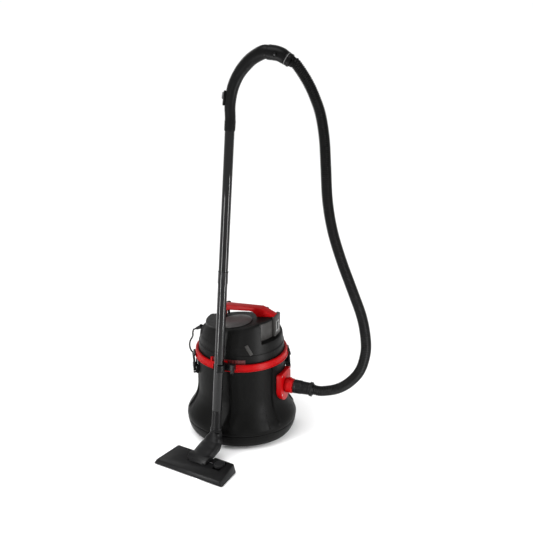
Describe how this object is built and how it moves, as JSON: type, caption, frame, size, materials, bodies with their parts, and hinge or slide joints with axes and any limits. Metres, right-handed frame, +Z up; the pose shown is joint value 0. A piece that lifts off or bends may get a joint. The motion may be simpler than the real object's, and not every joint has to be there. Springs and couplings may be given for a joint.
{
  "type": "shop vacuum",
  "caption": "Wet-and-dry shop vacuum: a flared drum on swivel castors, a motor head held by a clamp band and side latches, a hose, and a two-piece wand with a floor head parked upright.",
  "frame": {"origin": "middle of the object's floor box, on the floor, measured without the hose, lead, coil and plug", "axes": "+Z up; -Y is the front, where the wand parks; +X is the side with the hose inlet"},
  "size_m": [0.7088, 0.7972, 1.4099],
  "materials": {
    "black_plastic": "black moulded plastic with a slight sheen",
    "dark_trim": "dark grey moulded plastic",
    "foam": "dark foam",
    "grey_plastic": "mid-grey moulded plastic",
    "motor_alloy": "cast motor can",
    "red_plastic": "smooth red plastic",
    "rubber": "soft black",
    "steel": "bare metal",
    "tube_black": "black polished tube"
  },
  "bodies": {
    "drum": {"tank": "black_plastic", "tank_gasket": "rubber", "base_plate": "black_plastic", "clamp_band": "red_plastic", "head_base": "black_plastic", "head_shell": "black_plastic", "top_cap": "black_plastic", "carry_handle": "red_plastic", "switch_block": "black_plastic", "cord_hook_left": "dark_trim", "cord_hook_right": "dark_trim", "cord_gland": "rubber", "motor": "motor_alloy", "fan_housing": "grey_plastic", "filter_cage": "grey_plastic", "filter_sleeve": "foam", "inlet_port": "red_plastic", "inlet_deflector": "black_plastic", "latch_seat_left": "black_plastic", "latch_seat_right": "black_plastic", "latch_pin_left": "steel", "latch_pin_right": "steel", "wand_clip": "dark_trim", "hose": "rubber", "power_cord": "rubber", "cord_coil": "rubber", "plug": "rubber"},
    "rocker": {"switch_rocker": "grey_plastic"},
    "right_latch": {"latch_right": "dark_trim"},
    "left_latch": {"latch_left": "dark_trim"},
    "fan": {"impeller": "steel"},
    "float": {"float_ball": "red_plastic"},
    "cuff": {"tank_cuff": "dark_trim"},
    "wand": {"lower_tube": "tube_black", "upper_tube": "tube_black", "neck": "dark_trim", "handle_grip": "dark_trim", "slider_rail": "dark_trim", "hose_connector": "dark_trim", "connector_pin": "grey_plastic"},
    "collar": {"swivel_collar": "dark_trim"},
    "shutter": {"air_slider": "grey_plastic"},
    "neck_elbow": {"elbow": "dark_trim"},
    "floor_head": {"nozzle_body": "dark_trim", "sole_plate": "steel", "barrel_pin": "steel"},
    "foot_pedal": {"pedal": "dark_trim"},
    "brushes": {"brush_front": "rubber", "brush_rear": "rubber"},
    "caster_1": {"caster_fork_1": "dark_trim"},
    "caster_roller_1": {"caster_wheel_1": "rubber"},
    "caster_2": {"caster_fork_2": "dark_trim"},
    "caster_roller_2": {"caster_wheel_2": "rubber"},
    "caster_3": {"caster_fork_3": "dark_trim"},
    "caster_roller_3": {"caster_wheel_3": "rubber"},
    "caster_4": {"caster_fork_4": "dark_trim"},
    "caster_roller_4": {"caster_wheel_4": "rubber"},
    "caster_5": {"caster_fork_5": "dark_trim"},
    "caster_roller_5": {"caster_wheel_5": "rubber"}
  },
  "joints": [
    {"name": "switch_rock", "type": "hinge", "parent": "drum", "child": "rocker", "pos_m": [0.09625, 0.1136, 0.419], "axis": [0, 1, 0], "range_deg": [-16, 0]},
    {"name": "right_latch_swing", "type": "hinge", "parent": "drum", "child": "right_latch", "pos_m": [0.10876, 0.19177, 0.242], "axis": [-0.4695, 0.8829, 0], "range_deg": [0, 95]},
    {"name": "left_latch_swing", "type": "hinge", "parent": "drum", "child": "left_latch", "pos_m": [-0.18526, 0.03543, 0.242], "axis": [0.4695, -0.8829, 0], "range_deg": [0, 95]},
    {"name": "fan_spin", "type": "hinge", "parent": "drum", "child": "fan", "pos_m": [-0.03825, 0.1136, 0.37], "axis": [0, 0, 1], "continuous": true},
    {"name": "float_rise", "type": "slide", "parent": "drum", "child": "float", "axis": [0, 0, 1], "range_m": [0, 0.06]},
    {"name": "cuff_twist", "type": "hinge", "parent": "drum", "child": "cuff", "pos_m": [0.16175, 0.1136, 0.197], "axis": [1, 0, 0], "range_deg": [0, 30]},
    {"name": "caster_1_swivel", "type": "hinge", "parent": "drum", "child": "caster_1", "pos_m": [-0.03825, -0.0264, 0.048], "axis": [0, 0, 1], "continuous": true},
    {"name": "caster_1_roll", "type": "hinge", "parent": "caster_1", "child": "caster_roller_1", "pos_m": [-0.03825, -0.0144, 0.017], "axis": [1, 0, 0], "continuous": true},
    {"name": "caster_2_swivel", "type": "hinge", "parent": "drum", "child": "caster_2", "pos_m": [0.0949, 0.07034, 0.048], "axis": [0, 0, 1], "continuous": true},
    {"name": "caster_2_roll", "type": "hinge", "parent": "caster_2", "child": "caster_roller_2", "pos_m": [0.08349, 0.07405, 0.017], "axis": [0.309, 0.9511, 0], "continuous": true},
    {"name": "caster_3_swivel", "type": "hinge", "parent": "drum", "child": "caster_3", "pos_m": [0.04404, 0.22686, 0.048], "axis": [0, 0, 1], "continuous": true},
    {"name": "caster_3_roll", "type": "hinge", "parent": "caster_3", "child": "caster_roller_3", "pos_m": [0.03699, 0.21715, 0.017], "axis": [-0.809, 0.5878, 0], "continuous": true},
    {"name": "caster_4_swivel", "type": "hinge", "parent": "drum", "child": "caster_4", "pos_m": [-0.12054, 0.22686, 0.048], "axis": [0, 0, 1], "continuous": true},
    {"name": "caster_4_roll", "type": "hinge", "parent": "caster_4", "child": "caster_roller_4", "pos_m": [-0.11349, 0.21715, 0.017], "axis": [-0.809, -0.5878, 0], "continuous": true},
    {"name": "caster_5_swivel", "type": "hinge", "parent": "drum", "child": "caster_5", "pos_m": [-0.1714, 0.07034, 0.048], "axis": [0, 0, 1], "continuous": true},
    {"name": "caster_5_roll", "type": "hinge", "parent": "caster_5", "child": "caster_roller_5", "pos_m": [-0.15999, 0.07405, 0.017], "axis": [0.309, -0.9511, 0], "continuous": true},
    {"name": "wand_lift", "type": "slide", "parent": "drum", "child": "wand", "axis": [0, 0.1392, 0.9903], "range_m": [0, 0.05]},
    {"name": "collar_swivel", "type": "hinge", "parent": "wand", "child": "collar", "pos_m": [0.14725, 0.0476, 1.3727], "axis": [0.8934, 0, -0.4493], "continuous": true},
    {"name": "air_slide", "type": "slide", "parent": "wand", "child": "shutter", "axis": [-0.1003, -0.0602, -0.9931], "range_m": [0, 0.018]},
    {"name": "neck_swivel", "type": "hinge", "parent": "wand", "child": "neck_elbow", "pos_m": [-0.03825, -0.11635, 0.07981], "axis": [0, 0.1392, 0.9903], "range_deg": [-35, 58]},
    {"name": "head_tilt", "type": "hinge", "parent": "neck_elbow", "child": "floor_head", "pos_m": [-0.05696, -0.20438, 0.027], "axis": [0.9781, -0.2079, 0], "range_deg": [-12, 60]},
    {"name": "pedal_rock", "type": "hinge", "parent": "floor_head", "child": "foot_pedal", "pos_m": [0.02185, -0.22318, 0.0355], "axis": [0.9781, -0.2079, 0], "range_deg": [0, 8]},
    {"name": "brush_drop", "type": "slide", "parent": "floor_head", "child": "brushes", "axis": [0, 0, -1], "range_m": [0, 0.006]}
  ],
  "couplings": [
    {"joint": "pedal_rock", "follows": "brush_drop", "rad_per_m": 23.271}
  ]
}
